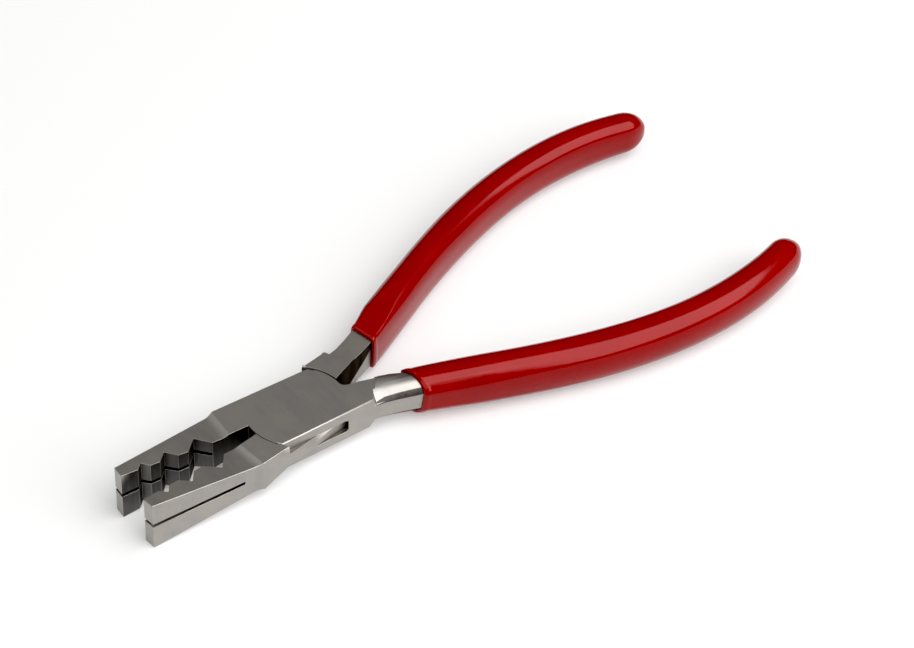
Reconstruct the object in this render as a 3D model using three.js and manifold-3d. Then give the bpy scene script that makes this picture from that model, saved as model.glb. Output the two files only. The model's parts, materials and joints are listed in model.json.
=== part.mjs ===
// Box-joint crimping pliers, in millimetres, +Z up.
// The origin is on the pivot axis at the underside of the box. The jaws point along -X, the handles along +X.
// Each half is drawn closed, with its jaw on the +Y side and its handle on the -Y side; the tongue half is
// the mirror image. Both are then turned apart about the pivot.

import * as THREE from "three";
import { mergeVertices } from "three/addons/utils/BufferGeometryUtils.js";
import Module from "manifold-3d";

const wasm = await Module();
wasm.setup();

// Driving dimensions
const OPENING_ANGLE = THREE.MathUtils.degToRad(10.74);
const BOX_THICKNESS = 6.88;
const BOX_FRONT_X = -14.0;
const BOX_HALF_WIDTH = 6.85;
const PLATE_THICKNESS = 2.05;
const TONGUE_PLAY = 0.04;
const CLOSING_GAP = 0.06;

const TIP_X = -36.6;
const TIP_WIDTH = 2.45;
const TIP_THICKNESS = 10.96;
const JAW_ROOT_X = -16.2;
const JAW_ROOT_Y = 6.1;
const JAW_ROOT_THICKNESS = 6.5;
const JAW_RELIEF = 0.3;
const NOTCHES = [
  { start: -33.1, width: 2.5 },
  { start: -28.6, width: 3.7 },
  { start: -22.8, width: 5.0 },
];
const SLIT_END_X = -17.8;
const SLIT_HEIGHT = 0.75;
const SLIT_RISE = 0.25;

const PLATE_REAR_RADIUS = 9.55;
const PLATE_FRONT_RADIUS = 10.1;
const TONGUE_RADIUS = 9.5;
const TONGUE_HALF_WIDTH = 6.7;
const MORTISE_RADIUS = 9.65;
const RIM_ROUNDING = 0.5;
const RIM_STEPS = 4;
const LINK_OVERLAP = 0.2;
const REAR_SLOPE_ABOVE = { side: 1, startX: 12.4, run: 1.0, drop: 1.8 };
const REAR_SLOPE_BELOW = { side: -1, startX: 11.5, run: 1.6, drop: 2.0 };
const REAR_SLOPE_START_Y = -6.44;
const REAR_SLOPE_END_Y = -3.2;
const REAR_SLOPE_ALONG = new THREE.Vector3(0.52, 0.86, 0);
const FRONT_SHOULDER_RADIUS = 10.25;
const SHOULDER_GRIND_LENGTH = 6.0;
const SHOULDER_GRIND_WIDTH = 1.1;
const SHOULDER_GRIND_HEIGHT = 1.8;
const SHOULDER_GRIND_END_X = -4.0;
const REAR_SHOULDER_RADIUS = 9.85;

// The plates' side on the handle's side of the closing line, and the fillet between rear arc and neck.
const PLATE_SIDE_Y = 7.05;
const PLATE_REAR_ARC_END_Y = 0.5;
const INNER_FILLET_LEAVES = new THREE.Vector2(9.65, -0.45);
const INNER_FILLET_ARRIVES = new THREE.Vector2(10.8, -0.55);
const INNER_FILLET_END = new THREE.Vector2(13.0, -0.92);

// The milled flat ends behind the pivot in a curve that sweeps back along the inner side.
const BOX_REAR_OUTER = new THREE.Vector2(13.35, -6.4);
const FLAT_END_INNER = new THREE.Vector2(16.4, -1.78);
const FLAT_END_BEND = new THREE.Vector2(14.4, -2.9);

// The same on the tongue half, whose flat ends in a rounded outer corner.
const SHOULDER_START_Y = 0.15;
const SHOULDER_END_INNER = new THREE.Vector2(15.8, -1.65);
const SHOULDER_END_BEND = new THREE.Vector2(14.1, -3.4);
const SHOULDER_CORNER_START_X = 12.3;
const SHOULDER_CORNER_X = 12.9;
const SHOULDER_CORNER_END = new THREE.Vector2(13.1, -6.1);

const PIN_RADIUS = 1.9;
const PIN_FIT = 0.01;
const PIN_CLEARANCE = 0.06;
const PIN_SIDES = 40;
const DISC_SIDES = 72;
const ARC_SEGMENTS = 20;
const JAW_ROOT_SEGMENTS = 8;

const WALL = 0.55;
const BORE_GAP = 0.15;
const NECK_LENGTH = 10.6;
const NECK_START = 1.2;
const BOX_SIDE_SECTION = { ridgeV: 0.45, waist: 0 };
const TONGUE_SIDE_SECTION = { ridgeV: 0.88, waist: 0.85 };
const BOX_SIDE_GRIP = { mouth: 10.85, skew: 1.35, section: BOX_SIDE_SECTION };
const TONGUE_SIDE_GRIP = { mouth: 10.3, skew: 0.5, section: TONGUE_SIDE_SECTION };
const TANG_END_CLEARANCE = 1.2;
const TANG_STEP_GROWTH = 1.5;
const TONGUE_NECK_HALF = 3.2;
const TONGUE_NECK_FLAT_END_X = 24.0;
const SOFTENING_LENGTH = 16;
const WAIST_LENGTH = 7;
const END_ROUNDING = 5.0;
const END_CLOSURE = 0.97;
const STRAIGHT_STEPS = 18;
const END_STEPS = 5;

const MID_Z = BOX_THICKNESS / 2;
const MORTISE_HALF = MID_Z - PLATE_THICKNESS;

// Sizes of cutters, and how far they run past the metal they cut.
const SLAB = 20;
const FAR = 60;
const RUN_PAST = 1;
const WELD_DISTANCE = 1e-5;

// The middle line of a handle in plan, and the steel's half width and half height along it.
const HANDLE_LINE = new THREE.CubicBezierCurve(
  new THREE.Vector2(11, -3.84),
  new THREE.Vector2(26.15, -2.97),
  new THREE.Vector2(68.09, -30.61),
  new THREE.Vector2(106.3, -12.21),
);
HANDLE_LINE.arcLengthDivisions = 400;
const HANDLE_LENGTH = HANDLE_LINE.getLength();
const HANDLE_SIZES = new THREE.SplineCurve([
  new THREE.Vector2(2.55, 3.68),
  new THREE.Vector2(2.8, 3.85),
  new THREE.Vector2(2.7, 3.95),
  new THREE.Vector2(2.87, 3.75),
  new THREE.Vector2(2.78, 3.65),
  new THREE.Vector2(2.65, 3.6),
  new THREE.Vector2(2.35, 3.15),
]);

// The handle section has flat sides and a crowned top and underside. On its unit square, u runs from the
// inner side at -1 to the outer side at 1, and the crown meets the outer side at a ridge, at a fraction of
// the half height. The top of the crown starts near the inner side behind the box and is in the middle where
// the grip begins. The neck can have a waist, by which its outer side stands further in.
const CROWN_U_AT_BOX = -0.8;
const CROWN_U_AT_GRIP = -0.1;
const TANG_CROWN_STEPS = 16;
const GRIP_CROWN_STEPS = 8;
const SIDE_STEPS = 3;
const SECTION_SQUARENESS = 2.8;

const steel = { metalness: 1.0, roughness: 0.35 };
const steelMaterial = new THREE.MeshStandardMaterial({ color: 0x8f8c87, ...steel });
const pinMaterial = new THREE.MeshStandardMaterial({ color: 0x99968f, ...steel });
const gripMaterial = new THREE.MeshStandardMaterial({ color: 0xa00a08, metalness: 0.0, roughness: 0.28 });

function toSolid(geometry) {
  const bare = geometry.index ? geometry.toNonIndexed() : geometry.clone();
  bare.deleteAttribute("normal");
  bare.deleteAttribute("uv");
  const merged = mergeVertices(bare, WELD_DISTANCE);
  return new wasm.Manifold(new wasm.Mesh({
    numProp: 3,
    vertProperties: new Float32Array(merged.attributes.position.array),
    triVerts: new Uint32Array(merged.index.array),
  }));
}

function toMesh(solid, name, material) {
  const { vertProperties, triVerts } = solid.getMesh();
  const geometry = new THREE.BufferGeometry();
  geometry.setAttribute("position", new THREE.BufferAttribute(vertProperties, 3));
  geometry.setIndex(new THREE.BufferAttribute(triVerts, 1));
  geometry.computeVertexNormals();
  const mesh = new THREE.Mesh(geometry, material);
  mesh.name = name;
  return mesh;
}

// Extrudes a plan outline between two heights.
function slab(outline, low, high, curveSegments = ARC_SEGMENTS) {
  const geometry = new THREE.ExtrudeGeometry(outline, {
    depth: high - low,
    bevelEnabled: false,
    curveSegments,
  });
  geometry.translate(0, 0, low);
  return toSolid(geometry);
}

function block(x0, y0, z0, x1, y1, z1) {
  const geometry = new THREE.BoxGeometry(x1 - x0, y1 - y0, z1 - z0);
  geometry.translate((x0 + x1) / 2, (y0 + y1) / 2, (z0 + z1) / 2);
  return toSolid(geometry);
}

function disc(radius, halfHeight, sides) {
  const geometry = new THREE.CylinderGeometry(radius, radius, 2 * halfHeight, sides);
  geometry.rotateX(Math.PI / 2);
  return toSolid(geometry);
}

// A disc with rounded rims, above and below.
function roundedDisc(radius, halfHeight) {
  const profile = [new THREE.Vector2(0, -halfHeight)];
  for (const [side, start] of [[-1, -Math.PI / 2], [1, 0]]) {
    for (let i = 0; i <= RIM_STEPS; i += 1) {
      const angle = start + (Math.PI / 2) * (i / RIM_STEPS);
      profile.push(new THREE.Vector2(
        radius - RIM_ROUNDING + RIM_ROUNDING * Math.cos(angle),
        side * (halfHeight - RIM_ROUNDING) + RIM_ROUNDING * Math.sin(angle),
      ));
    }
  }
  profile.push(new THREE.Vector2(0, halfHeight));
  const geometry = new THREE.LatheGeometry(profile, DISC_SIDES);
  geometry.rotateX(Math.PI / 2);
  return toSolid(geometry);
}

// The jaw in plan: straight outer side, inner side on the closing line with its three V notches, and a
// concave run-out to the full width of the box.
function jawOutline(outerY) {
  const outline = new THREE.Shape();
  outline.moveTo(TIP_X, TIP_WIDTH);
  outline.lineTo(TIP_X, CLOSING_GAP);
  for (const { start, width } of NOTCHES) {
    outline.lineTo(start, CLOSING_GAP);
    outline.lineTo(start + width / 2, CLOSING_GAP + width / 2);
    outline.lineTo(start + width, CLOSING_GAP);
  }
  outline.lineTo(BOX_FRONT_X, JAW_RELIEF);
  outline.lineTo(BOX_FRONT_X, outerY);
  const slope = (JAW_ROOT_Y - TIP_WIDTH) / (JAW_ROOT_X - TIP_X);
  const bendX = (JAW_ROOT_X + BOX_FRONT_X) / 2;
  outline.quadraticCurveTo(bendX, JAW_ROOT_Y + slope * (bendX - JAW_ROOT_X), JAW_ROOT_X, JAW_ROOT_Y);
  return outline;
}

// The jaw seen from the side: it swells towards the tip, and a hollow run-out meets the flat of the box.
function jawSideSolid() {
  const rootZ = JAW_ROOT_THICKNESS / 2;
  const slope = (rootZ - TIP_THICKNESS / 2) / (JAW_ROOT_X - TIP_X);
  const bendX = (JAW_ROOT_X + BOX_FRONT_X) / 2;
  const bendZ = rootZ + slope * (bendX - JAW_ROOT_X);
  const side = new THREE.Shape();
  side.moveTo(TIP_X - RUN_PAST, TIP_THICKNESS / 2 - slope * RUN_PAST);
  side.lineTo(JAW_ROOT_X, rootZ);
  side.quadraticCurveTo(bendX, bendZ, BOX_FRONT_X, MID_Z);
  side.lineTo(BOX_FRONT_X + RUN_PAST, MID_Z);
  side.lineTo(BOX_FRONT_X + RUN_PAST, -MID_Z);
  side.lineTo(BOX_FRONT_X, -MID_Z);
  side.quadraticCurveTo(bendX, -bendZ, JAW_ROOT_X, -rootZ);
  side.lineTo(TIP_X - RUN_PAST, slope * RUN_PAST - TIP_THICKNESS / 2);
  const geometry = new THREE.ExtrudeGeometry(side, {
    depth: SLAB,
    bevelEnabled: false,
    curveSegments: JAW_ROOT_SEGMENTS,
  });
  geometry.rotateX(Math.PI / 2);
  geometry.translate(0, SLAB / 2, 0);
  return toSolid(geometry);
}

function jaw(outerY) {
  const slitZ = SLIT_RISE - SLIT_HEIGHT / 2;
  const slit = block(TIP_X - RUN_PAST, -RUN_PAST, slitZ, SLIT_END_X, SLAB, slitZ + SLIT_HEIGHT);
  const bar = slab(jawOutline(outerY), -SLAB, SLAB, JAW_ROOT_SEGMENTS);
  return bar.intersect(jawSideSolid()).subtract(slit);
}

const angleAtY = (radius, y) => Math.asin(y / radius);

// The box half's two plates in plan.
function plateOutline() {
  const rearStart = angleAtY(PLATE_REAR_RADIUS, BOX_HALF_WIDTH);
  const rearEnd = angleAtY(PLATE_REAR_RADIUS, PLATE_REAR_ARC_END_Y);
  const frontStart = Math.PI + angleAtY(PLATE_FRONT_RADIUS, PLATE_SIDE_Y);
  const frontEnd = Math.PI - angleAtY(PLATE_FRONT_RADIUS, JAW_RELIEF);
  const outline = new THREE.Shape();
  outline.moveTo(BOX_FRONT_X, JAW_RELIEF);
  outline.lineTo(BOX_FRONT_X, BOX_HALF_WIDTH);
  outline.absarc(0, 0, PLATE_REAR_RADIUS, rearStart, rearEnd, true);
  outline.bezierCurveTo(
    INNER_FILLET_LEAVES.x, INNER_FILLET_LEAVES.y,
    INNER_FILLET_ARRIVES.x, INNER_FILLET_ARRIVES.y,
    INNER_FILLET_END.x, INNER_FILLET_END.y,
  );
  outline.lineTo(FLAT_END_INNER.x, FLAT_END_INNER.y);
  outline.quadraticCurveTo(FLAT_END_BEND.x, FLAT_END_BEND.y, BOX_REAR_OUTER.x, BOX_REAR_OUTER.y);
  outline.absarc(0, 0, PLATE_FRONT_RADIUS, frontStart, frontEnd, true);
  return outline;
}

// The tongue half's full-thickness metal in front of the box and behind it.
function frontShoulderOutline(outerY) {
  const outline = new THREE.Shape();
  outline.moveTo(BOX_FRONT_X, outerY);
  outline.lineTo(BOX_FRONT_X, JAW_RELIEF);
  const start = Math.PI - angleAtY(FRONT_SHOULDER_RADIUS, JAW_RELIEF);
  const end = Math.PI - angleAtY(FRONT_SHOULDER_RADIUS, outerY);
  outline.absarc(0, 0, FRONT_SHOULDER_RADIUS, start, end, true);
  return outline;
}

function rearShoulderOutline() {
  const outline = new THREE.Shape();
  outline.moveTo(SHOULDER_END_INNER.x, SHOULDER_END_INNER.y);
  outline.lineTo(INNER_FILLET_END.x, INNER_FILLET_END.y);
  const start = -angleAtY(REAR_SHOULDER_RADIUS, SHOULDER_START_Y);
  const end = -angleAtY(REAR_SHOULDER_RADIUS, TONGUE_HALF_WIDTH);
  outline.absarc(0, 0, REAR_SHOULDER_RADIUS, start, end, true);
  outline.lineTo(SHOULDER_CORNER_START_X, -TONGUE_HALF_WIDTH);
  outline.quadraticCurveTo(
    SHOULDER_CORNER_X, -TONGUE_HALF_WIDTH, SHOULDER_CORNER_END.x, SHOULDER_CORNER_END.y,
  );
  outline.quadraticCurveTo(
    SHOULDER_END_BEND.x, SHOULDER_END_BEND.y, SHOULDER_END_INNER.x, SHOULDER_END_INNER.y,
  );
  return outline;
}

// The unit square of the handle section, with points spaced along its sides.
function unitSquare(crownSteps) {
  const corners = [[-1, 1], [1, 1], [1, -1], [-1, -1]];
  const points = [];
  corners.forEach(([x, y], side) => {
    const [nextX, nextY] = corners[(side + 1) % corners.length];
    const count = x === nextX ? SIDE_STEPS : crownSteps;
    for (let i = 0; i < count; i += 1) {
      const along = x === nextX ? i / count : (1 - Math.cos((Math.PI * i) / count)) / 2;
      points.push(new THREE.Vector2(x + (nextX - x) * along, y + (nextY - y) * along));
    }
  });
  return new THREE.Shape(points);
}

// The height of the crown at u, as a fraction of the section's half height.
function crownHeight(u, crownU, ridgeV) {
  const reach = (1 - crownU) / Math.sqrt(1 - ridgeV ** 2);
  return Math.sqrt(1 - ((u - crownU) / reach) ** 2);
}

// Sweeps the section along the handle between two stations, with a round end. The steps lengthen by growth
// from the start, and skew turns the plane of the start.
function handleSolid({ start, end, offset, section, crownSteps, growth = 1, skew = 0 }) {
  const steps = STRAIGHT_STEPS + END_STEPS;
  const swept = new THREE.ExtrudeGeometry(unitSquare(crownSteps), {
    steps,
    depth: steps,
    bevelEnabled: false,
  });
  const position = swept.attributes.position;
  const point = new THREE.Vector2();
  const roundStart = end - END_ROUNDING;
  for (let i = 0; i < position.count; i += 1) {
    const step = position.getZ(i);
    const turn = Math.max(0, step - STRAIGHT_STEPS) / END_STEPS;
    const past = Math.sin((Math.PI / 2) * turn * END_CLOSURE);
    const run = Math.min(1, step / STRAIGHT_STEPS) ** growth;
    point.fromBufferAttribute(position, i);
    const squareStart = skew * point.x * (1 - run) ** 2;
    const station = start + (roundStart - start) * run + END_ROUNDING * past + squareStart;
    const closing = Math.sqrt(1 - past * past);
    const [x, y, z] = handlePoint(point, station, offset, closing, section);
    position.setXYZ(i, x, y, z);
  }
  return toSolid(swept);
}

function handlePoint(unit, station, offset, closing, section) {
  const along = THREE.MathUtils.clamp(station / HANDLE_LENGTH, 0, 1);
  const centre = HANDLE_LINE.getPointAt(along);
  const tangent = HANDLE_LINE.getTangentAt(along);
  const size = HANDLE_SIZES.getPoint(along);
  const softness = THREE.MathUtils.smoothstep(station, NECK_LENGTH, NECK_LENGTH + SOFTENING_LENGTH);
  const alongNeck = THREE.MathUtils.smoothstep(station, NECK_START, NECK_LENGTH);
  const crownU = THREE.MathUtils.lerp(CROWN_U_AT_BOX, CROWN_U_AT_GRIP, alongNeck);
  const crowned = unit.y * crownHeight(unit.x, crownU, section.ridgeV);
  const norm = Math.hypot(unit.x, unit.y);
  const power = SECTION_SQUARENESS;
  const superellipse = Math.abs(unit.x / norm) ** power + Math.abs(unit.y / norm) ** power;
  const round = superellipse ** (-1 / power) / norm;
  const pastWaist = THREE.MathUtils.smoothstep(station, NECK_LENGTH, NECK_LENGTH + WAIST_LENGTH);
  const halfWidth = size.x - (unit.x > 0 ? section.waist * (1 - pastWaist) : 0);
  const u = THREE.MathUtils.lerp(unit.x, unit.x * round, softness) * (halfWidth + offset) * closing;
  const v = THREE.MathUtils.lerp(crowned, unit.y * round, softness) * (size.y + offset) * closing;
  return [centre.x + tangent.y * u, centre.y - tangent.x * u, -v];
}

function tang(section) {
  return handleSolid({
    start: NECK_START,
    end: HANDLE_LENGTH - WALL - TANG_END_CLEARANCE,
    offset: 0,
    section,
    crownSteps: TANG_CROWN_STEPS,
    growth: TANG_STEP_GROWTH,
  });
}

function grip({ mouth, skew, section }) {
  const outer = handleSolid({
    start: mouth,
    end: HANDLE_LENGTH,
    offset: WALL + BORE_GAP,
    section,
    crownSteps: GRIP_CROWN_STEPS,
    skew,
  });
  const bore = handleSolid({
    start: mouth - RUN_PAST,
    end: HANDLE_LENGTH - WALL,
    offset: BORE_GAP,
    section,
    crownSteps: GRIP_CROWN_STEPS,
    skew,
  });
  return outer.subtract(bore);
}

// Metal above and below the milled flats of an outline is cut away.
function mill(solid, outline) {
  return solid.subtract(slab(outline, MID_Z, SLAB)).subtract(slab(outline, -SLAB, -MID_Z));
}

// A cutter whose face passes through corner and contains the directions along and slope.
function planeCutter(corner, along, slope) {
  const xAxis = along.clone().normalize();
  const zAxis = new THREE.Vector3().crossVectors(along, slope).normalize();
  const yAxis = new THREE.Vector3().crossVectors(zAxis, xAxis);
  const geometry = new THREE.BoxGeometry(SLAB, SLAB, SLAB);
  geometry.translate(0, 0, SLAB / 2);
  geometry.applyMatrix4(new THREE.Matrix4().makeBasis(xAxis, yAxis, zAxis));
  geometry.translate(corner.x, corner.y, corner.z);
  return toSolid(geometry);
}

// The box falls away to the outer side of the neck at its rear, above (side 1) and below (side -1).
function rearSlope({ side, startX, run, drop }) {
  const corner = new THREE.Vector3(startX, REAR_SLOPE_START_Y, side * MID_Z);
  const slope = new THREE.Vector3(-side * run, 0, drop);
  const innerSide = block(-FAR, REAR_SLOPE_END_Y, -SLAB, FAR, FAR, SLAB);
  return planeCutter(corner, REAR_SLOPE_ALONG, slope).subtract(innerSide);
}

// The lower outer corner of the tongue half's front shoulder is ground away towards the box.
function shoulderChamfer() {
  const corner = new THREE.Vector3(BOX_FRONT_X, TONGUE_HALF_WIDTH, -MID_Z);
  const along = new THREE.Vector3(SHOULDER_GRIND_LENGTH, 0, SHOULDER_GRIND_HEIGHT);
  const slope = new THREE.Vector3(SHOULDER_GRIND_LENGTH, -SHOULDER_GRIND_WIDTH, 0);
  const reach = block(BOX_FRONT_X, 0, -SLAB, SHOULDER_GRIND_END_X, SLAB, -MORTISE_HALF);
  return planeCutter(corner, along, slope).intersect(reach);
}

function boxHalf() {
  const plates = plateOutline();
  const neck = mill(tang(BOX_SIDE_SECTION), plates);
  const full = slab(plates, -MID_Z, MID_Z);
  const box = full.subtract(rearSlope(REAR_SLOPE_ABOVE)).subtract(rearSlope(REAR_SLOPE_BELOW));
  const body = box.add(jaw(BOX_HALF_WIDTH)).add(neck);
  const mortise = roundedDisc(MORTISE_RADIUS, MORTISE_HALF);
  const frontWindow = block(-FAR, -FAR, -MORTISE_HALF, 0, 0, MORTISE_HALF);
  const rearWindow = block(0, 0, -MORTISE_HALF, FAR, FAR, MORTISE_HALF);
  return body.subtract(mortise).subtract(frontWindow).subtract(rearWindow).subtract(pinBore(PIN_FIT));
}

function pinBore(clearance) {
  return disc(PIN_RADIUS + clearance, SLAB, PIN_SIDES);
}

// The disc that turns in the box, with the links that join it to the metal in front and behind.
function tongue() {
  const half = MORTISE_HALF - TONGUE_PLAY;
  const link = disc(FRONT_SHOULDER_RADIUS + LINK_OVERLAP, half, DISC_SIDES);
  const front = link.intersect(block(-FAR, JAW_RELIEF, -SLAB, 0, TONGUE_HALF_WIDTH, SLAB));
  const rear = link.intersect(block(0, -TONGUE_HALF_WIDTH, -SLAB, FAR, -JAW_RELIEF, SLAB));
  const sides = block(-FAR, -TONGUE_HALF_WIDTH, -SLAB, FAR, TONGUE_HALF_WIDTH, SLAB);
  return roundedDisc(TONGUE_RADIUS, half).intersect(sides).add(front).add(rear);
}

// The tongue half's neck is ground flat on its top and underside, a little below the flats of the box.
function tongueNeck() {
  const above = block(-FAR, -FAR, TONGUE_NECK_HALF, TONGUE_NECK_FLAT_END_X, FAR, SLAB);
  const below = block(-FAR, -FAR, -SLAB, TONGUE_NECK_FLAT_END_X, FAR, -TONGUE_NECK_HALF);
  return tang(TONGUE_SIDE_SECTION).subtract(above).subtract(below);
}

function tongueHalf() {
  const rear = rearShoulderOutline();
  const neck = tongueNeck();
  const frontShoulder = slab(frontShoulderOutline(TONGUE_HALF_WIDTH), -MID_Z, MID_Z);
  const rearShoulder = slab(rear, -MID_Z, MID_Z);
  const body = jaw(TONGUE_HALF_WIDTH).add(frontShoulder).add(tongue()).add(rearShoulder).add(neck);
  return body.subtract(pinBore(PIN_CLEARANCE)).subtract(shoulderChamfer());
}

// The mirror image of a mesh across the closing line.
function mirrored(mesh) {
  mesh.geometry.scale(1, -1, 1);
  const index = mesh.geometry.index;
  for (let i = 0; i < index.count; i += 3) {
    const second = index.getX(i + 1);
    index.setX(i + 1, index.getX(i + 2));
    index.setX(i + 2, second);
  }
  mesh.geometry.computeVertexNormals();
  return mesh;
}

const boxSide = new THREE.Group();
boxSide.rotation.z = -OPENING_ANGLE / 2;
boxSide.add(toMesh(boxHalf(), "box_half", steelMaterial));
boxSide.add(toMesh(grip(BOX_SIDE_GRIP), "box_handle_grip", gripMaterial));
boxSide.add(toMesh(disc(PIN_RADIUS, MID_Z, PIN_SIDES), "pivot_pin", pinMaterial));

const tongueSide = new THREE.Group();
tongueSide.rotation.z = OPENING_ANGLE / 2;
tongueSide.add(mirrored(toMesh(tongueHalf(), "tongue_half", steelMaterial)));
tongueSide.add(mirrored(toMesh(grip(TONGUE_SIDE_GRIP), "tongue_handle_grip", gripMaterial)));

const pliers = new THREE.Group();
pliers.name = "crimping_pliers";
pliers.position.z = MID_Z;
pliers.add(boxSide);
pliers.add(tongueSide);

export default pliers;
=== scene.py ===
"""Box-joint crimping pliers: ground steel halves on a flush pin, with dip-moulded red grips."""

import json
import math

import bmesh
import bpy
import numpy as np
from mathutils import Matrix, Vector


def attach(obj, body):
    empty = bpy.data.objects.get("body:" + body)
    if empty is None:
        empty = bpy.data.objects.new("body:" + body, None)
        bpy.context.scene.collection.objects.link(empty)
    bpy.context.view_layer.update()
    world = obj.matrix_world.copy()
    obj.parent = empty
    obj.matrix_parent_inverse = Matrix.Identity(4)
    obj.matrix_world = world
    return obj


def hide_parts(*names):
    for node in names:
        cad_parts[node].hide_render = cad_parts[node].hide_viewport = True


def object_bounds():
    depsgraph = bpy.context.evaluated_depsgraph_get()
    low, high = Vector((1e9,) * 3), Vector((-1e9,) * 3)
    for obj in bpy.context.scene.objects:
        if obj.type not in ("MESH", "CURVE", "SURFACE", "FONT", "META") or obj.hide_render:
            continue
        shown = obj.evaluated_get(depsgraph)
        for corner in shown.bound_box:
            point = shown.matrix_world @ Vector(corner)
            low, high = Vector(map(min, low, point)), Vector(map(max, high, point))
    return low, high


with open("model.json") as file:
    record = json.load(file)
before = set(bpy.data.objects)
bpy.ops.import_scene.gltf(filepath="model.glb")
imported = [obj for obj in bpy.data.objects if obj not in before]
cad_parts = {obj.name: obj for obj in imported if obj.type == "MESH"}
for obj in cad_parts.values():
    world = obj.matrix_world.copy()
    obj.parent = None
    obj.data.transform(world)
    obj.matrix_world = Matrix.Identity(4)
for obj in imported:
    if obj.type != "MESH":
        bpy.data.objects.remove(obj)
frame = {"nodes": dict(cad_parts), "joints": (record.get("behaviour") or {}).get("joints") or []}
cad_low, cad_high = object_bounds()

MM = 0.001
PIVOT = Vector(frame["joints"][0]["pos_m"])
HALF_OPENING = math.radians(10.74 / 2)

# The camera looks at a point behind the pivot. Angles are in degrees, lengths in millimetres.
CAMERA_AIM = Vector((38.78, 1.15, 3.44)) * MM
CAMERA_AZIMUTH = -40.82
CAMERA_ELEVATION = 44.81
CAMERA_ROLL = 2.45
CAMERA_DISTANCE = 590.3 * MM
CAMERA_LENS = 122.73
CAMERA_SENSOR = 36.0

# Finishing of the steel's edges: which are corners, how round they are broken, and where shading is creased.
WELD_DISTANCE = 0.002 * MM
FLAT_ANGLE = math.radians(1.0)
EDGE_ANGLE = math.radians(23.0)
CREASE_ANGLE = math.radians(12.0)
CREASE_ON_SIDES = math.radians(5.0)
EDGE_RADIUS = 0.12 * MM
INNER_EDGE_RADIUS = 0.05 * MM
EDGE_SEGMENTS = 2
BOX_EDGE_RADIUS = 0.34 * MM
BOX_EDGE_SEGMENTS = 4
SHORTEST_EDGE = 0.16 * MM
PIN_SURROUND = 2.3 * MM
NORMAL_WEIGHT = 90

# Where the parts of a half are, in its own closed position, in millimetres from the pivot.
BOX_SIDE_Y = 6.0
BOX_EDGE_FRONT_X = -10.0
BOX_EDGE_REAR_X = 12.6
LEVEL_WITHIN = 0.1
FLAT_Z = 3.3
JAW_ROOT_X = -10.5
NECK_X = 12.0
STEP_END_X = 17.0
CROWN_X = 13.7
RIDGE_Y = -4.8
INSIDE_Z = 3.2
INSIDE_Y = 6.5
SLIT_Z = 0.25
SLIT_HALF = 0.39

# How far a normal's Z goes on upright faces, on the plain sides, and on the sloping crown.
UPRIGHT_Z = 0.35
PLAIN_SIDE_Z = 0.1
CROWN_LOWEST_Z = 0.15
CROWN_HIGHEST_Z = 0.9

# Which faces are painted dark: the jaws' inner faces, the step and the inner side of the neck, by their
# normals, as painted shade, and this many strips of the crown next to its ridge, as a painted dark
# reflection.
JAW_FACING_Y = -0.3
STEP_FACING_X = -0.5
NECK_FACING_Y = 0.6
RIDGE_STRIPS = 3

# The painted shade on the neck's inner side ends on a plane that rises towards the grip.
SHADE_END = Vector((13.2, 0, -3.2))
SHADE_END_NORMAL = Vector((-0.493, 0, 0.870))

# The finish and the painted shades, in the order of a half's materials.
GROUND, SCALE_AND_SHADE, PAINTED_DARK, INSIDE_SHADE = range(4)

# The handle's middle line in plan, in its own half's closed position, and the steel's half width and half
# height along it, in millimetres. A station is a length along the line.
HANDLE_LINE = np.array([(11, -3.84), (26.15, -2.97), (68.09, -30.61), (106.3, -12.21)])
HANDLE_SIZES = np.array([
    (2.55, 3.68), (2.8, 3.85), (2.7, 3.95), (2.87, 3.75), (2.78, 3.65), (2.65, 3.6), (2.35, 3.15),
])
LINE_DIVISIONS = 800
DIRECTION_STEP = 0.25
SECTION_SQUARENESS = 2.8

# The neck. The top of its crown moves across the section, and is given as a part of the half width. The waist
# ends over its length beyond the neck, and the ridge over the softening.
CROWN_U_AT_BOX = -0.8
CROWN_U_AT_GRIP = -0.1
NECK_START = 1.2
NECK_LENGTH = 10.6
WAIST_LENGTH = 7.0
SOFTENING_LENGTH = 16.0
STEEL_SOFTENING = (NECK_LENGTH, NECK_LENGTH + SOFTENING_LENGTH)

# The dip-moulded sleeves, in millimetres. The mouth's plane is turned by a skew in plan and a lean in
# height. The softening is the stretch of stations over which the skin loses the steel's ridge.
GRIPS = {
    "box_handle_grip": {
        "body": "box_side", "side": 1, "mouth": 10.6, "skew": 1.2, "lean": 0.45,
        "ridge_v": 0.45, "neck_half": 3.95, "waist": 0.0, "softening": (10.6, 80.6),
    },
    "tongue_handle_grip": {
        "body": "tongue_side", "side": -1, "mouth": 10.3, "skew": 0.5, "lean": 0.0,
        "ridge_v": 0.88, "neck_half": 3.2, "waist": 0.85, "softening": (-3.4, 30.6),
    },
}

# The skin's thickness and its shape at the ends, in millimetres. The bore has a tight fit.
SKIN = 0.92
SKIN_AT_MOUTH = 0.66
THINNING_LENGTH = 16.0
SKIN_SQUARENESS_OUTSIDE = 2.3
SKIN_SQUARENESS_INSIDE = 3.2
FIT = -0.06
END_WALL = 1.2
END_ROUNDING = 5.0
END_LEFT_OPEN = 0.35
LIP_RADIUS = 0.22
BEAD_HEIGHT = 0.09
BEAD_LENGTH = 1.1

# How many points a ring and a side of the section have, and how many rings each stretch has.
AROUND = 128
SECTION_POINTS = 96
BORE_STEPS = 40
LIP_STEPS = 8
THINNING_STEPS = 60
ALONG = 130
END_STEPS = 16


def smoothstep(x, low, high):
    t = np.clip((x - low) / (high - low), 0, 1)
    return t * t * (3 - 2 * t)


def finished(bm, name, body, node):
    """Makes the piece from the mesh, in place of its CAD node."""
    mesh = bpy.data.meshes.new(name)
    bm.to_mesh(mesh)
    bm.free()
    mesh.shade_smooth()
    piece = bpy.data.objects.new(name, mesh)
    bpy.context.scene.collection.objects.link(piece)
    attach(piece, body)
    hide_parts(node)
    return piece


# Handle sections

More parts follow.
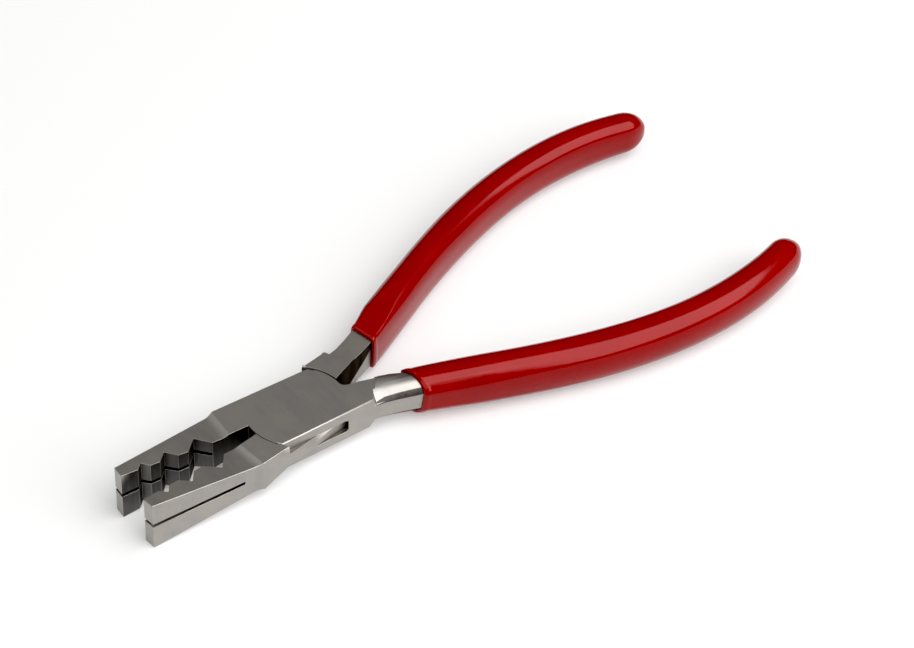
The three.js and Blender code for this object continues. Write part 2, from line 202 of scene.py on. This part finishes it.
def bezier(t):
    """A point of the handle's middle line, from 0 at the box to 1 at the tip."""
    a, b, c, d = HANDLE_LINE
    return a * (1 - t) ** 3 + 3 * b * t * (1 - t) ** 2 + 3 * c * t ** 2 * (1 - t) + d * t ** 3


def line_table():
    """Points along the middle line with the length up to each."""
    points = np.array([bezier(t) for t in np.linspace(0, 1, LINE_DIVISIONS + 1)])
    steps = np.linalg.norm(np.diff(points, axis=0), axis=1)
    return points, np.concatenate([[0], np.cumsum(steps)])


LINE_POINTS, LINE_LENGTHS = line_table()
HANDLE_LENGTH = LINE_LENGTHS[-1]


def line_point(station):
    return np.array([np.interp(station, LINE_LENGTHS, LINE_POINTS[:, k]) for k in (0, 1)])


def line_direction(station):
    ahead = line_point(min(station + DIRECTION_STEP, HANDLE_LENGTH))
    behind = line_point(max(station - DIRECTION_STEP, 0))
    return (ahead - behind) / np.linalg.norm(ahead - behind)


def size_at(station):
    """Half width and half height on a Catmull-Rom curve through HANDLE_SIZES."""
    last = len(HANDLE_SIZES) - 1
    place = np.clip(station / HANDLE_LENGTH, 0, 1) * last
    i = min(int(place), last - 1)
    t = place - i
    p0, p1, p2, p3 = (HANDLE_SIZES[min(max(k, 0), last)] for k in (i - 1, i, i + 1, i + 2))
    v0 = (p2 - p0) / 2
    v1 = (p3 - p1) / 2
    return (2 * p1 - 2 * p2 + v0 + v1) * t ** 3 + (3 * p2 - 3 * p1 - 2 * v0 - v1) * t ** 2 + v0 * t + p1


def unit_square():
    """Points round a square from -1 to 1, evenly spaced in angle along each side."""
    t = np.sin(np.linspace(-np.pi / 2, np.pi / 2, SECTION_POINTS, endpoint=False))
    one = np.ones_like(t)
    sides = [(t, one), (one, -t), (-t, -one), (-one, t)]
    return np.concatenate([np.stack(side, axis=1) for side in sides])


SQUARE = unit_square()
SKIN_SQUARENESS = np.where(SQUARE[:, 0] > 0, SKIN_SQUARENESS_OUTSIDE, SKIN_SQUARENESS_INSIDE)


def steel_section(station, ridge_v, neck_half, waist, softening, power):
    """The steel's outline: flat sides and a crown by the box, softening into a rounded bar in the grip.

    The crown meets the outer side at ridge_v of the half height. The neck is ground off level with neck_half,
    and its outer side stands in by the waist. The bar is a superellipse, whose power can differ from point
    to point.
    """
    u, v = SQUARE.T
    shift = smoothstep(station, NECK_START, NECK_LENGTH)
    crown_u = CROWN_U_AT_BOX + (CROWN_U_AT_GRIP - CROWN_U_AT_BOX) * shift
    reach = (1 - crown_u) / math.sqrt(1 - ridge_v ** 2)
    crowned = v * np.sqrt(1 - ((u - crown_u) / reach) ** 2)
    norm = np.hypot(u, v)
    rounding = (np.abs(u / norm) ** power + np.abs(v / norm) ** power) ** (-1 / power) / norm
    softness = smoothstep(station, *softening)
    half_width, half_height = size_at(station)
    past_waist = smoothstep(station, NECK_LENGTH, NECK_LENGTH + WAIST_LENGTH)
    half_widths = half_width - np.where(u > 0, waist * (1 - past_waist), 0)
    across = (u + (u * rounding - u) * softness) * half_widths
    upright = (crowned + (v * rounding - crowned) * softness) * half_height
    level = smoothstep(station, *STEEL_SOFTENING)
    ground = neck_half + (half_height - neck_half) * level
    return np.stack([across, np.clip(upright, -ground, ground)], axis=1)


def sleeve_section(station, offset, closing, ridge_v, neck_half, waist, softening):
    """An even ring of points at a distance outside the steel, with its corners rounded by that distance.

    The bore fits the steel. The skin loses the ridge over its own stretch of the handle, and is rounder on
    its outer side.
    """
    shape = (STEEL_SOFTENING, SECTION_SQUARENESS) if offset == FIT else (softening, SKIN_SQUARENESS)
    steel = steel_section(station, ridge_v, neck_half, waist, *shape)
    angles = np.linspace(math.pi / 4, math.pi / 4 + 2 * math.pi, 4 * AROUND, endpoint=False)
    normals = np.stack([np.cos(angles), np.sin(angles)], axis=1)
    outline = steel[np.argmax(normals @ steel.T, axis=1)] + offset * normals
    closed = np.vstack([outline, outline[:1]])
    lengths = np.concatenate([[0], np.cumsum(np.linalg.norm(np.diff(closed, axis=0), axis=1))])
    even = np.linspace(0, lengths[-1], AROUND, endpoint=False)
    ring = np.stack([np.interp(even, lengths, closed[:, k]) for k in (0, 1)], axis=1)
    return ring * closing


def placed_ring(station, offset, closing, skew, lean, side, section):
    """The ring in the row frame, in metres. Near the mouth a skew and a lean turn its plane."""
    half_width, half_height = size_at(station)
    corner = Matrix.Rotation(-side * HALF_OPENING, 3, "Z")
    points = []
    for across, upright in sleeve_section(station, offset, closing, **section):
        own_station = station + skew * across / half_width + lean * upright / half_height
        centre = line_point(own_station)
        direction = line_direction(own_station)
        x = centre[0] + direction[1] * across
        y = (centre[1] - direction[0] * across) * side
        points.append(PIVOT + corner @ Vector((x, y, upright)) * MM)
    return points


def end_rings(end, offset, count):
    """Stations, offsets and closings of a rounded end, as far as a small last ring."""
    for i in range(count + 1):
        turn = math.pi / 2 * i / (count + END_LEFT_OPEN)
        yield end - END_ROUNDING + END_ROUNDING * math.sin(turn), offset, math.cos(turn)


def skin_thickness(beyond):
    """The dipped skin at a distance beyond the mouth: a low bead, then a slow swell to its full thickness."""
    bead = BEAD_HEIGHT * math.sin(math.pi * min(beyond / BEAD_LENGTH, 1)) ** 2
    return SKIN_AT_MOUTH + (SKIN - SKIN_AT_MOUTH) * smoothstep(beyond, 0, THINNING_LENGTH) + bead


def sleeve_rings(mouth):
    """From the blind end of the bore to the mouth, over the lip, and along the skin to the closed tip."""
    bore_end = HANDLE_LENGTH - END_WALL
    rings = list(end_rings(bore_end, FIT, END_STEPS))[::-1]
    skin_start = mouth + LIP_RADIUS
    for station in np.linspace(bore_end - END_ROUNDING, skin_start, BORE_STEPS, endpoint=False)[1:]:
        rings.append((station, FIT, 1))
    middle = (SKIN_AT_MOUTH + FIT) / 2
    depth = (SKIN_AT_MOUTH - FIT) / 2
    for turn in np.linspace(-math.pi / 2, math.pi / 2, LIP_STEPS + 1):
        rings.append((skin_start - LIP_RADIUS * math.cos(turn), middle + depth * math.sin(turn), 1))
    for beyond in np.linspace(0, THINNING_LENGTH, THINNING_STEPS, endpoint=False)[1:]:
        rings.append((skin_start + beyond, skin_thickness(beyond), 1))
    straight_end = HANDLE_LENGTH - END_ROUNDING
    for station in np.linspace(skin_start + THINNING_LENGTH, straight_end, ALONG, endpoint=False):
        rings.append((station, SKIN, 1))
    return rings + list(end_rings(HANDLE_LENGTH, SKIN, END_STEPS))


def sleeve(name, body, side, mouth, skew, lean, **section):
    """A grip as one closed skin that replaces its CAD node."""
    bm = bmesh.new()
    loops = []
    for station, offset, closing in sleeve_rings(mouth):
        near_mouth = 1 - smoothstep(station, mouth, mouth + SOFTENING_LENGTH)
        ring = placed_ring(station, offset, closing, skew * near_mouth, lean * near_mouth, side, section)
        loops.append([bm.verts.new(p) for p in ring])
    for ring, following in zip(loops, loops[1:]):
        for i in range(AROUND):
            j = (i + 1) % AROUND
            bm.faces.new((ring[i], ring[j], following[j], following[i]))
    bm.faces.new(loops[0])
    bm.faces.new(loops[-1])
    bmesh.ops.recalc_face_normals(bm, faces=bm.faces)
    return finished(bm, name + "_skin", body, name)


# Steel

def closed_frame(side):
    """The turn from the row frame to a half's own closed position, in millimetres from the pivot."""
    mirror = Matrix.Diagonal((1, side, 1))
    return mirror @ Matrix.Rotation(side * HALF_OPENING, 3, "Z") * (1 / MM)


def closed_centre(face, to_closed):
    return to_closed @ (face.calc_center_median() - PIVOT)


def closed_normal(face, to_closed):
    return (to_closed @ face.normal).normalized()


def is_corner(edge):
    """A corner that grinding has broken: not a shallow one, a sliver, or the rim of the flush pin."""
    if len(edge.link_faces) != 2 or edge.calc_face_angle(0) < EDGE_ANGLE:
        return False
    radii = [math.hypot(v.co.x - PIVOT.x, v.co.y - PIVOT.y) for v in edge.verts]
    return edge.calc_length() > SHORTEST_EDGE and max(radii) > PIN_SURROUND


def is_box_edge(edge, to_closed):
    """One of the long corners between the box's flats and its sides."""
    ends = [to_closed @ (v.co - PIVOT) for v in edge.verts]
    return all(
        abs(p.y) > BOX_SIDE_Y and BOX_EDGE_FRONT_X < p.x < BOX_EDGE_REAR_X and abs(p.z) > FLAT_Z
        for p in ends
    ) and abs(ends[0].z - ends[1].z) < LEVEL_WITHIN


def finish_or_shade(face, to_closed):
    """Which finish a face has, or which painted shade.

    The slits, and the jaws where they look at each other, are dark scale, darkened further as painted shade.
    The inside of the box is painted darker as shade, and the inner side of the neck and the step where the
    flat of the box ends on the neck are painted black as shade.
    """
    centre = closed_centre(face, to_closed)
    normal = closed_normal(face, to_closed)
    upright = abs(normal.z) < UPRIGHT_Z
    if centre.x < JAW_ROOT_X:
        heights = [(to_closed @ (v.co - PIVOT)).z for v in face.verts]
        slit = all(abs(z - SLIT_Z) < SLIT_HALF for z in heights)
        # Slits and facing jaws get dark scale, darkened further as painted shade.
        return SCALE_AND_SHADE if slit or upright and normal.y < JAW_FACING_Y else GROUND
    if centre.x > NECK_X:
        step = normal.x < STEP_FACING_X and centre.x < STEP_END_X
        neck_shade = normal.y > NECK_FACING_Y and (centre - SHADE_END).dot(SHADE_END_NORMAL) > 0
        # The neck's inner side above the slanting plane and the step are painted black as shade.
        return PAINTED_DARK if upright and (neck_shade or step) else GROUND
    # The inside of the box is painted darker as shade.
    return INSIDE_SHADE if abs(centre.z) < INSIDE_Z and abs(centre.y) < INSIDE_Y else GROUND


def cut_neck_side(bm, to_closed):
    """Cuts the inner side of the neck along the slanting line where its painted shade ends."""
    from_closed = to_closed.inverted()
    geometry = set()
    for face in bm.faces:
        on_side = closed_normal(face, to_closed).y > NECK_FACING_Y and abs(face.normal.z) < UPRIGHT_Z
        if on_side and closed_centre(face, to_closed).x > NECK_X:
            geometry.update([face], face.edges, face.verts)
    bmesh.ops.bisect_plane(
        bm,
        geom=list(geometry),
        plane_co=PIVOT + from_closed @ SHADE_END,
        plane_no=(from_closed @ SHADE_END_NORMAL).normalized(),
    )


def ridge_strips(bm, to_closed):
    """The lowest strips of a neck's crown, which run along its ridge with the outer side, painted dark as a
    reflection.
    """
    crown = set()
    for face in bm.faces:
        centre = closed_centre(face, to_closed)
        sloping = CROWN_LOWEST_Z < abs(closed_normal(face, to_closed).z) < CROWN_HIGHEST_Z
        if sloping and centre.x > CROWN_X and centre.y < RIDGE_Y:
            crown.add(face)
    reached = {
        v for face in crown for edge in face.edges for v in edge.verts
        if any(abs(other.normal.z) < PLAIN_SIDE_Z for other in edge.link_faces)
    }
    strips = set()
    for _ in range(RIDGE_STRIPS):
        strip = {face for face in crown - strips if any(v in reached for v in face.verts)}
        strips |= strip
        reached = {v for face in strip for v in face.verts}
    return strips


def break_corners(bm, edges, radius, segments):
    """Bevels the edges, and gives the edges that this makes."""
    made = bmesh.ops.bevel(
        bm,
        geom=edges,
        offset=radius,
        offset_type="OFFSET",
        segments=segments,
        profile=0.5,
        affect="EDGES",
        clamp_overlap=False,
    )
    return set(made["edges"])


def steel_half(node, body, side):
    """The CAD half with its corners broken and a finish or a painted shade chosen for each face."""
    to_closed = closed_frame(side)
    bm = bmesh.new()
    bm.from_mesh(frame["nodes"][node].data)
    bmesh.ops.remove_doubles(bm, verts=bm.verts, dist=WELD_DISTANCE)
    bmesh.ops.dissolve_limit(bm, angle_limit=FLAT_ANGLE, verts=bm.verts, edges=bm.edges)
    cut_neck_side(bm, to_closed)
    for face in bm.faces:
        face.material_index = finish_or_shade(face, to_closed)
    # The strips along the ridge are painted dark, a painted dark reflection line.
    for face in ridge_strips(bm, to_closed):
        face.material_index = PAINTED_DARK
    long_edges = [e for e in bm.edges if is_corner(e) and is_box_edge(e, to_closed)]
    done = break_corners(bm, long_edges, BOX_EDGE_RADIUS, BOX_EDGE_SEGMENTS)
    corners = [e for e in bm.edges if e not in done and is_corner(e)]
    outer = [e for e in corners if not any(f.material_index for f in e.link_faces)]
    done |= break_corners(bm, outer, EDGE_RADIUS, EDGE_SEGMENTS)
    inner = [e for e in bm.edges if e not in done and is_corner(e)]
    done |= break_corners(bm, inner, INNER_EDGE_RADIUS, 1)
    bm.normal_update()
    for edge in bm.edges:
        on_sides = all(abs(face.normal.z) < PLAIN_SIDE_Z for face in edge.link_faces)
        sharp = CREASE_ON_SIDES if on_sides else CREASE_ANGLE
        edge.smooth = edge in done or edge.calc_face_angle(0) < sharp
    piece = finished(bm, node + "_ground", body, node)
    weighted = piece.modifiers.new("flat faces stay flat", "WEIGHTED_NORMAL")
    weighted.keep_sharp = True
    weighted.weight = NORMAL_WEIGHT
    return piece


# Materials

# Base colours of the steels: a darker and a lighter tone in blotches, and the streaks over them.
GROUND_TONES = ((0.332, 0.322, 0.312), (0.396, 0.370, 0.334), (0.378, 0.360, 0.335))
# The three dark tone sets below are painted shade: scale darkened further on the slits and facing jaws,
# painted dark on the neck's inner side, the step and the ridge strips, and painted shade inside the box.
SCALE_AND_SHADE_TONES = ((0.125, 0.122, 0.124), (0.155, 0.148, 0.142), (0.19, 0.178, 0.165))
PAINTED_DARK_TONES = ((0.050, 0.046, 0.042), (0.070, 0.064, 0.058), (0.095, 0.085, 0.075))
INSIDE_SHADE_TONES = ((0.150, 0.142, 0.136), (0.190, 0.180, 0.170), (0.235, 0.220, 0.200))
# Corners are lightened as wear and also as a painted highlight along the edges.
WORN_AND_HIGHLIT_CORNER = (0.45, 0.435, 0.41)
BROWN_CORNER = (0.21, 0.15, 0.10)
SCALE_TINT = (0.3, 0.3, 0.3, 1)
PVC_TONES = ((0.205, 0.0008, 0.0008), (0.235, 0.0012, 0.0011))
PVC_TINT = (1, 0.42, 0.42, 1)

# Patterns of the finishes: cycles per metre along X, Y and Z.
COARSE_GRAIN = (1100, 60, 110)
FINE_GRAIN = (8000, 420, 600)
GROUND_BLOTCHES = (190, 150, 210)
SCALE_STREAKS = (1400, 1400, 160)
SCALE_BLOTCHES = (260, 260, 200)
PVC_WAVES = (110, 150, 150)
PVC_SKIN = (1800, 1800, 1800)

# The least and the greatest roughness of each.
GROUND_ROUGHNESS = (0.36, 0.43)
SCALED_ROUGHNESS = (0.36, 0.46)
PVC_ROUGHNESS = (0.11, 0.16)

# Wear and a painted highlight at the corners: how round they count as, the cosines between which they fade
# out, how much smoother the wear makes the steel, and the ring around the pin in which they start, in
# millimetres.
WEAR_RADIUS = 0.22 * MM
WORN_COSINE = 0.90
UNWORN_COSINE = 0.997
WEAR_SMOOTHING = 0.05
WEAR_STARTS = (2.2, 2.6)

# Heights of the fine relief.
GRAIN_HEIGHT = 0.0016 * MM
FINE_GRAIN_HEIGHT = 0.0012 * MM
SCALE_HEIGHT = 0.003 * MM
PVC_WAVE_HEIGHT = 0.035 * MM
PVC_SKIN_HEIGHT = 0.0003 * MM


class Nodes:
    """Short ways to add shader nodes to one material or world."""

    def __init__(self, owner):
        owner.use_nodes = True
        self.tree = owner.node_tree
        self.tree.nodes.clear()

    def add(self, kind, **settings):
        node = self.tree.nodes.new(kind)
        for key, value in settings.items():
            setattr(node, key, value)
        return node

    def link(self, source, target):
        self.tree.links.new(source, target)

    def object_space(self, scale):
        """Object coordinates, stretched, in cycles per metre."""
        place = self.add("ShaderNodeTexCoord")
        mapping = self.add("ShaderNodeMapping")
        mapping.inputs["Scale"].default_value = scale
        self.link(place.outputs["Object"], mapping.inputs["Vector"])
        return mapping.outputs["Vector"]

    def noise(self, scale, detail, roughness=0.5):
        """Noise around 0.5."""
        node = self.add("ShaderNodeTexNoise")
        node.inputs["Scale"].default_value = 1.0
        node.inputs["Detail"].default_value = detail
        node.inputs["Roughness"].default_value = roughness
        self.link(self.object_space(scale), node.inputs["Vector"])
        return node.outputs["Fac"]

    def between(self, value, low, high, to_low=0.0, to_high=1.0):
        """The value, with low to high stretched to to_low to to_high and cut off there."""
        node = self.add("ShaderNodeMapRange")
        node.inputs["From Min"].default_value = low
        node.inputs["From Max"].default_value = high
        node.inputs["To Min"].default_value = to_low
        node.inputs["To Max"].default_value = to_high
        self.link(value, node.inputs["Value"])
        return node.outputs["Result"]

    def mix_colour(self, factor, a, b):
        """Colour a where the factor is 0 and b where it is 1. Each is a constant or a socket."""
        node = self.add("ShaderNodeMix", data_type="RGBA")
        self.link(factor, node.inputs[0])
        for socket, colour in ((node.inputs[6], a), (node.inputs[7], b)):
            if isinstance(colour, tuple):
                socket.default_value = (*colour, 1)
            else:
                self.link(colour, socket)
        return node.outputs[2]

    def math(self, operation, a, b):
        """The operation on a and b, which are numbers or sockets."""
        node = self.add("ShaderNodeMath", operation=operation)
        for socket, value in zip(node.inputs, (a, b)):
            if isinstance(value, (int, float)):
                socket.default_value = value
            else:
                self.link(value, socket)
        return node.outputs[0]

    def bump(self, height, distance, under=None):
        """A relief, on top of the one under it if there is one."""
        node = self.add("ShaderNodeBump")
        node.inputs["Strength"].default_value = 1.0
        node.inputs["Distance"].default_value = distance
        self.link(height, node.inputs["Height"])
        if under is not None:
            self.link(under, node.inputs["Normal"])
        return node.outputs["Normal"]

    def surface(self, **constants):
        """A principled shader with these constants, linked to the output."""
        shader = self.add("ShaderNodeBsdfPrincipled")
        for name, value in constants.items():
            shader.inputs[name.replace("_", " ")].default_value = value
        output = self.add("ShaderNodeOutputMaterial")
        self.link(shader.outputs["BSDF"], output.inputs["Surface"])
        return shader


def corner_mask(nodes):
    """1 along the corners, where the rounded normal turns away from the true one, and 0 elsewhere.

    The pin's rim is left out, because it is ground flush with the box.
    """
    rounded = nodes.add("ShaderNodeBevel", samples=4)
    rounded.inputs["Radius"].default_value = WEAR_RADIUS
    true = nodes.add("ShaderNodeNewGeometry")
    product = nodes.add("ShaderNodeVectorMath", operation="DOT_PRODUCT")
    nodes.link(rounded.outputs["Normal"], product.inputs[0])
    nodes.link(true.outputs["Normal"], product.inputs[1])
    from_axis = nodes.add("ShaderNodeVectorMath", operation="LENGTH")
    nodes.link(nodes.object_space((1 / MM, 1 / MM, 0)), from_axis.inputs[0])
    outside_pin = nodes.between(from_axis.outputs["Value"], *WEAR_STARTS)
    corners = nodes.between(product.outputs["Value"], WORN_COSINE, UNWORN_COSINE, 1.0, 0.0)
    return nodes.math("MULTIPLY", corners, outside_pin)


def ground_steel(name, worn_and_highlit_corners):
    """Satin steel, ground across the tool, so that the grain runs along Y and Z."""
    material = bpy.data.materials.new(name)
    nodes = Nodes(material)
    coarse = nodes.noise(COARSE_GRAIN, detail=3, roughness=0.6)
    fine = nodes.noise(FINE_GRAIN, detail=3, roughness=0.65)
    blotch = nodes.noise(GROUND_BLOTCHES, detail=3, roughness=0.55)
    darker, lighter, streak = GROUND_TONES
    tone = nodes.mix_colour(nodes.between(blotch, 0.35, 0.65), darker, lighter)
    streaked = nodes.mix_colour(nodes.between(coarse, 0.35, 0.8), tone, streak)
    rough = nodes.between(fine, 0.25, 0.75, *GROUND_ROUGHNESS)
    shader = nodes.surface(Metallic=1.0)
    if worn_and_highlit_corners:
        # The corners are lightened, partly as wear and partly as a painted highlight along the edges.
        wear_and_highlight = corner_mask(nodes)
        streaked = nodes.mix_colour(wear_and_highlight, streaked, WORN_AND_HIGHLIT_CORNER)
        rough = nodes.math("SUBTRACT", rough, nodes.math("MULTIPLY", wear_and_highlight, WEAR_SMOOTHING))
    nodes.link(streaked, shader.inputs["Base Color"])
    nodes.link(rough, shader.inputs["Roughness"])
    grain = nodes.bump(coarse, GRAIN_HEIGHT, nodes.bump(fine, FINE_GRAIN_HEIGHT))
    nodes.link(grain, shader.inputs["Normal"])
    return material


def scale_and_shade_steel(name, darker, lighter, streak):
    """Dark steel that stands in for shade, partly dark heat scale, brown where it thins at the corners."""
    material = bpy.data.materials.new(name)
    nodes = Nodes(material)
    streaks = nodes.noise(SCALE_STREAKS, detail=3, roughness=0.6)
    blotch = nodes.noise(SCALE_BLOTCHES, detail=3, roughness=0.55)
    tone = nodes.mix_colour(nodes.between(blotch, 0.35, 0.65), darker, lighter)
    streaked = nodes.mix_colour(nodes.between(streaks, 0.4, 0.8), tone, streak)
    thinned = nodes.mix_colour(corner_mask(nodes), streaked, BROWN_CORNER)
    shader = nodes.surface(Metallic=1.0, Specular_Tint=SCALE_TINT)
    nodes.link(thinned, shader.inputs["Base Color"])
    nodes.link(nodes.between(streaks, 0.25, 0.75, *SCALED_ROUGHNESS), shader.inputs["Roughness"])
    nodes.link(nodes.bump(streaks, SCALE_HEIGHT), shader.inputs["Normal"])
    return material


def dipped_pvc():
    """Glossy soft PVC with the slight waves of a dipped coating."""
    material = bpy.data.materials.new("dipped_pvc")
    nodes = Nodes(material)
    waves = nodes.noise(PVC_WAVES, detail=1.5)
    skin = nodes.noise(PVC_SKIN, detail=2)
    tone = nodes.mix_colour(nodes.between(waves, 0.3, 0.7), *PVC_TONES)
    shader = nodes.surface(IOR=1.45, Specular_IOR_Level=0.6, Specular_Tint=PVC_TINT)
    nodes.link(tone, shader.inputs["Base Color"])
    nodes.link(nodes.between(skin, 0.3, 0.7, *PVC_ROUGHNESS), shader.inputs["Roughness"])
    relief = nodes.bump(skin, PVC_SKIN_HEIGHT, nodes.bump(waves, PVC_WAVE_HEIGHT))
    nodes.link(relief, shader.inputs["Normal"])
    return material


def paint(piece, slot, *materials):
    """Gives a piece its materials. The slot is not used."""
    for material in materials:
        piece.data.materials.append(material)


# Studio. Angles are in degrees, lengths in metres.

FLOOR_HALF = 6.0
FLOOR_COLOUR = (0.61, 0.61, 0.61, 1)
FLOOR_GLOW = 0.24
WHITE = (1, 1, 1, 1)
WALL_COLOUR = (0.03, 0.03, 0.03)
CEILING_COLOUR = (0.345, 0.335, 0.325)
WALLS_END = 0.15
CEILING_STARTS = 0.75
BLACK_LEVEL = (0.012, 0.012, 0.012)

# Where each soft box is seen from the tool, its width and height, its radiance, and how far it is then moved
# in its own plane.
SOFT_BOXES = {
    "overhead": {
        "azimuth": 0, "elevation": 60, "distance": 1.1,
        "width": 1.2, "height": 1.69, "radiance": 3.7, "moved": (0.5, -0.2),
    },
    "back_accent": {
        "azimuth": 176, "elevation": 58, "distance": 1.2,
        "width": 0.3, "height": 0.3, "radiance": 1.2,
    },
    "front_fill": {
        "azimuth": -50, "elevation": 48, "distance": 1.5,
        "width": 1.5, "height": 1.1, "radiance": 1.7,
    },
}


def direction_to(azimuth, elevation):
    """Azimuth 0 is towards -Y and 90 towards +X."""
    a, e = math.radians(azimuth), math.radians(elevation)
    return Vector((math.sin(a) * math.cos(e), -math.cos(a) * math.cos(e), math.sin(e)))


def pale_floor():
    """A wide floor that the tool lies on."""
    mesh = bpy.data.meshes.new("floor")
    corners = [(x * FLOOR_HALF, y * FLOOR_HALF, 0) for x, y in ((-1, -1), (1, -1), (1, 1), (-1, 1))]
    mesh.from_pydata(corners, [], [(0, 1, 2, 3)])
    floor = bpy.data.objects.new("floor", mesh)
    floor.location = (0, 0, cad_low.z)
    bpy.context.scene.collection.objects.link(floor)
    material = bpy.data.materials.new("floor_white")
    nodes = Nodes(material)
    nodes.surface(
        Base_Color=FLOOR_COLOUR,
        Roughness=0.9,
        Specular_IOR_Level=0.1,
        Emission_Color=WHITE,
        Emission_Strength=FLOOR_GLOW,
    )
    mesh.materials.append(material)


def soft_box(name, azimuth, elevation, distance, width, height, radiance, moved=(0.0, 0.0)):
    """A rectangular light that faces the middle of the tool, as bright as radiance all over."""
    light = bpy.data.lights.new(name, "AREA")
    light.shape = "RECTANGLE"
    light.size = width
    light.size_y = height
    light.energy = radiance * math.pi * width * height
    lamp = bpy.data.objects.new(name, light)
    towards = direction_to(azimuth, elevation)
    lamp.rotation_mode = "QUATERNION"
    lamp.rotation_quaternion = towards.to_track_quat("Z", "Y")
    lamp.location = CAMERA_AIM + lamp.rotation_quaternion @ Vector((*moved, distance))
    bpy.context.scene.collection.objects.link(lamp)


def studio_world():
    """White to the camera, and to the rest a room that is dark at the horizon and paler overhead."""
    world = bpy.data.worlds.new("studio")
    nodes = Nodes(world)
    seen = nodes.add("ShaderNodeBackground")
    seen.inputs["Color"].default_value = WHITE
    room = nodes.add("ShaderNodeBackground")
    direction = nodes.add("ShaderNodeTexCoord")
    height = nodes.add("ShaderNodeSeparateXYZ")
    nodes.link(direction.outputs["Generated"], height.inputs[0])
    rise = nodes.between(height.outputs["Z"], WALLS_END, CEILING_STARTS)
    nodes.link(nodes.mix_colour(rise, WALL_COLOUR, CEILING_COLOUR), room.inputs["Color"])
    path = nodes.add("ShaderNodeLightPath")
    mix = nodes.add("ShaderNodeMixShader")
    output = nodes.add("ShaderNodeOutputWorld")
    nodes.link(path.outputs["Is Camera Ray"], mix.inputs[0])
    nodes.link(room.outputs[0], mix.inputs[1])
    nodes.link(seen.outputs[0], mix.inputs[2])
    nodes.link(mix.outputs[0], output.inputs["Surface"])
    bpy.context.scene.world = world


def camera():
    """The camera that the photo's view was matched with."""
    data = bpy.data.cameras.new("camera")
    data.lens = CAMERA_LENS
    data.sensor_width = CAMERA_SENSOR
    data.clip_start = 0.01
    data.clip_end = 50
    eye = bpy.data.objects.new("camera", data)
    back = direction_to(CAMERA_AZIMUTH, CAMERA_ELEVATION)
    look = (-back).to_track_quat("-Z", "Y").to_matrix() @ Matrix.Rotation(math.radians(CAMERA_ROLL), 3, "Z")
    eye.matrix_world = Matrix.Translation(CAMERA_AIM + back * CAMERA_DISTANCE) @ look.to_4x4()
    bpy.context.scene.collection.objects.link(eye)
    bpy.context.scene.camera = eye


steel = ground_steel("ground_steel", worn_and_highlit_corners=True)
flush_steel = ground_steel("flush_steel", worn_and_highlit_corners=False)
# Dark steels that are painted shade: darkened scale on the slits and facing jaws, painted dark on the neck
# and the ridge strips, and the inside of the box.
scale = scale_and_shade_steel("scale_and_shade_steel", *SCALE_AND_SHADE_TONES)
painted_dark_material = scale_and_shade_steel("painted_dark_steel", *PAINTED_DARK_TONES)
inside_shade_material = scale_and_shade_steel("inside_shade_steel", *INSIDE_SHADE_TONES)
pvc = dipped_pvc()
paint(steel_half("box_half", "box_side", 1), "steel", steel, scale, painted_dark_material, inside_shade_material)
paint(steel_half("tongue_half", "tongue_side", -1), "steel", steel, scale, painted_dark_material, inside_shade_material)
pin = frame["nodes"]["pivot_pin"]
pin.data.materials.clear()
paint(pin, "pin_steel", flush_steel)
for grip_name, grip in GRIPS.items():
    paint(sleeve(grip_name, **grip), "grip", pvc)

pale_floor()
studio_world()
for box_name, box in SOFT_BOXES.items():
    soft_box(box_name, **box)
camera()
view = bpy.context.scene.view_settings
view.view_transform = "Standard"
view.use_curve_mapping = True
view.curve_mapping.black_level = BLACK_LEVEL
